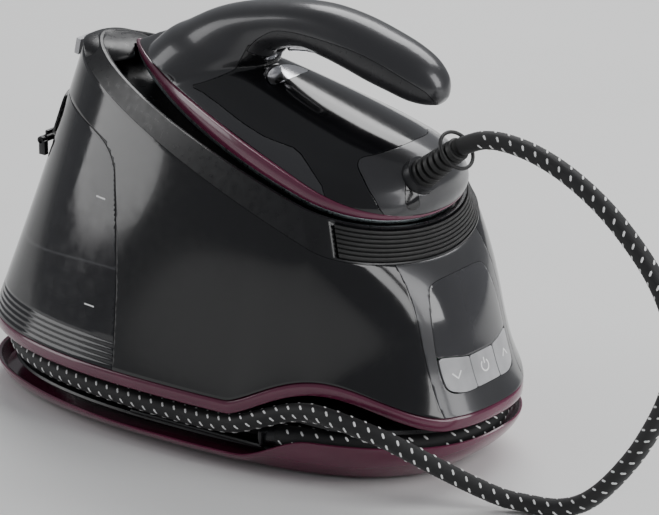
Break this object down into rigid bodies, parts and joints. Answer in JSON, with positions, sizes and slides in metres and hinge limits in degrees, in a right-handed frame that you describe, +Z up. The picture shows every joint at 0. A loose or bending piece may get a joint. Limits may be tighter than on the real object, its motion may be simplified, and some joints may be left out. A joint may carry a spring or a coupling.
{
  "type": "steam generator iron",
  "caption": "Steam generator iron: boat-shaped base with smoked water tank, panel with keys, sloping deck holding the iron, and a braided steam hose stored round the foot.",
  "frame": {"origin": "centre of the tray's underside on the table top", "axes": "+X to the control-panel end, -X to the tank end, +Z up"},
  "size_m": [0.5462, 0.206, 0.2889],
  "materials": {
    "wine_plastic": "gloss",
    "black_gloss": "gloss",
    "black_satin": "satin",
    "grey_gloss": "metallic gloss",
    "window_gloss": "gloss",
    "key_grey": "satin",
    "dark_grip": "satin",
    "bright_chrome": "polished",
    "smoked_tank": "smoked translucent",
    "rubber_black": "matte",
    "braid": "braided textile",
    "sole_metal": "anodised",
    "steel_parts": "satin",
    "cast_block": "cast",
    "heater_steel": "oxidised",
    "brass_parts": "satin",
    "board_green": "satin",
    "inner_plastic": "matte",
    "silicone": "matte"
  },
  "bodies": {
    "base": {"base_tray": "wine_plastic", "rubber_feet": "rubber_black", "base_screws": "steel_parts", "groove_core": "black_satin", "trim_ring": "wine_plastic", "body_shell": "black_gloss", "front_panel": "grey_gloss", "control_window": "window_gloss", "control_board": "board_green", "key_switches": "inner_plastic", "deck": "black_satin", "iron_rest": "rubber_black", "heel_stop": "rubber_black", "nose_cradle": "black_satin", "valve_seat": "rubber_black", "boiler": "steel_parts", "boiler_heater": "heater_steel", "boiler_strap": "steel_parts", "safety_valve": "brass_parts", "water_pump": "inner_plastic", "steam_valve": "inner_plastic", "water_tube": "silicone", "steam_tube": "silicone", "power_board": "board_green", "mains_inlet": "black_satin", "hose_clip": "black_satin", "hose_gland": "black_satin", "hose_sleeve": "braid", "steam_hose": "braid"},
    "iron": {"soleplate": "sole_metal", "sole_gasket": "silicone", "steam_chamber": "cast_block", "sole_heater": "heater_steel", "thermostat": "brass_parts", "iron_band": "wine_plastic", "iron_shell": "grey_gloss", "saddle_cover": "black_gloss", "handle_grip": "dark_grip", "grip_collar": "bright_chrome", "heel_cover": "grey_gloss", "iron_screws": "steel_parts", "trigger_frame": "inner_plastic", "trigger_pin": "steel_parts", "trigger_spring": "steel_parts", "micro_switch": "black_satin", "inner_steam_pipe": "silicone", "hose_boss": "grey_gloss", "hose_boot": "rubber_black", "hose_ring": "rubber_black"},
    "tank": {"water_tank": "smoked_tank", "flap_hinge": "black_satin", "flap_pin": "steel_parts", "tank_valve": "inner_plastic"},
    "flap": {"tank_flap": "black_satin"},
    "trigger": {"trigger": "bright_chrome"},
    "key_down": {"button_down": "key_grey"},
    "key_power": {"button_power": "key_grey"},
    "key_up": {"button_up": "key_grey"},
    "latch": {"latch_tab": "key_grey"}
  },
  "joints": [
    {"name": "iron_lift", "type": "slide", "parent": "base", "child": "iron", "axis": [0.2677, 0, 0.9635], "range_m": [0, 0.08], "deforming": ["steam_hose"]},
    {"name": "trigger_pull", "type": "hinge", "parent": "iron", "child": "trigger", "pos_m": [0.05994, 0, 0.26447], "axis": [0, 1, 0], "range_deg": [0, 6], "stiffness_Nm_per_rad": 0.3},
    {"name": "key_down_press", "type": "slide", "parent": "base", "child": "key_down", "axis": [-0.9511, 0, -0.309], "range_m": [0, 0.0012], "stiffness_N_per_m": 600},
    {"name": "key_power_press", "type": "slide", "parent": "base", "child": "key_power", "axis": [-0.9511, 0, -0.309], "range_m": [0, 0.0012], "stiffness_N_per_m": 600},
    {"name": "key_up_press", "type": "slide", "parent": "base", "child": "key_up", "axis": [-0.9511, 0, -0.309], "range_m": [0, 0.0012], "stiffness_N_per_m": 600},
    {"name": "tank_pull", "type": "slide", "parent": "base", "child": "tank", "axis": [-1, 0, 0], "range_m": [0, 0.15]},
    {"name": "flap_open", "type": "hinge", "parent": "tank", "child": "flap", "pos_m": [-0.164, 0, 0.16], "axis": [0, -1, 0], "range_deg": [0, 80]},
    {"name": "latch_slide", "type": "slide", "parent": "base", "child": "latch", "axis": [0, 0, 1], "range_m": [0, 0.003]}
  ]
}
